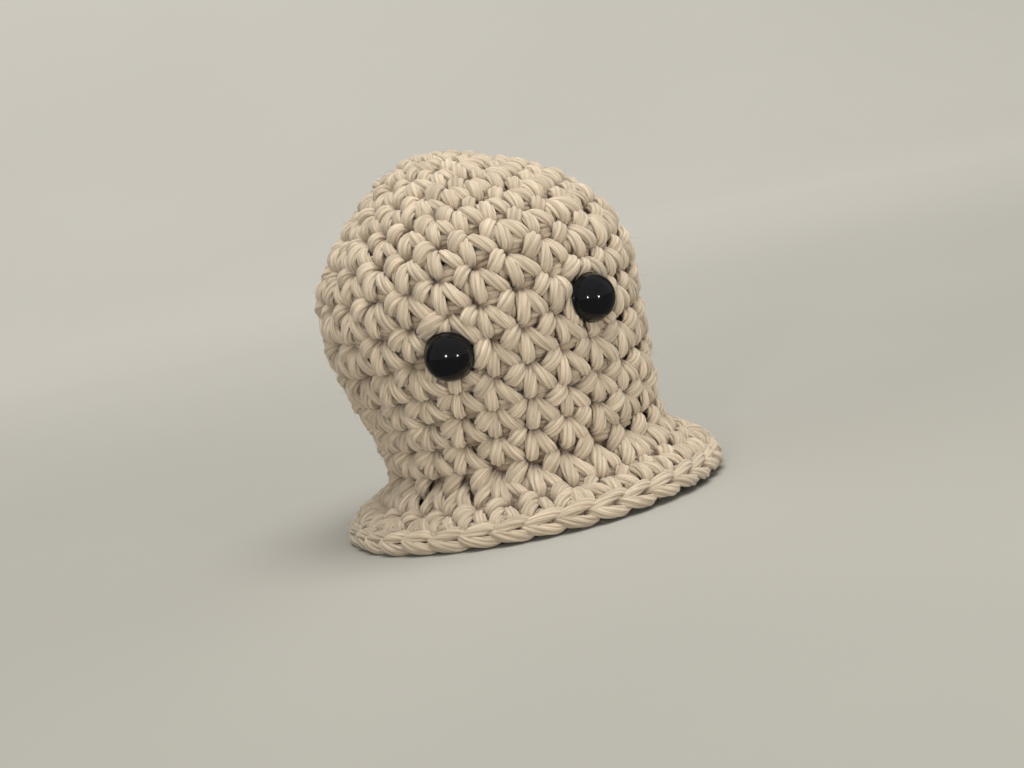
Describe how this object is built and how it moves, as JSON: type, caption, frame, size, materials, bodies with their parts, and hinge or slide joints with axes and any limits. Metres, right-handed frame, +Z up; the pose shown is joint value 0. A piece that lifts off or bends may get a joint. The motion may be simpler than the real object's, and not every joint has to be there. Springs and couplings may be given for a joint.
{
  "type": "amigurumi doll",
  "caption": "Small stuffed crocheted ghost doll: round head, slight neck, flared brim to stand on, and domed safety eyes on posts with washers.",
  "frame": {"origin": "centre of the flat underside that the doll stands on", "axes": "+Z up from the underside, the face looks along -Y, and the viewer's right is +X"},
  "size_m": [0.0636, 0.0636, 0.0609],
  "materials": {
    "crochet_cotton": "cream worsted cotton yarn in single crochet, matt with a slight sheen",
    "sewing_cotton": "the same cream cotton, used as sewing yarn",
    "fibrefill": "white polyester fibrefill",
    "eye_plastic": "polished black plastic",
    "washer_plastic": "natural white polyethylene"
  },
  "bodies": {
    "doll": {"crochet_shell": "crochet_cotton", "stuffing": "fibrefill", "base_disc": "crochet_cotton", "base_seam_yarn": "sewing_cotton"},
    "eye_left_body": {"eye_left": "eye_plastic", "washer_left": "washer_plastic"},
    "eye_right_body": {"eye_right": "eye_plastic", "washer_right": "washer_plastic"}
  },
  "joints": [
    {"name": "eye_left_turn", "type": "hinge", "parent": "doll", "child": "eye_left_body", "pos_m": [-0.01395, -0.02276, 0.03008], "axis": [-0.4467, -0.879, -0.1669], "continuous": true},
    {"name": "eye_right_turn", "type": "hinge", "parent": "doll", "child": "eye_right_body", "pos_m": [0.00995, -0.02276, 0.03387], "axis": [0.4765, -0.879, -0.0207], "continuous": true}
  ]
}
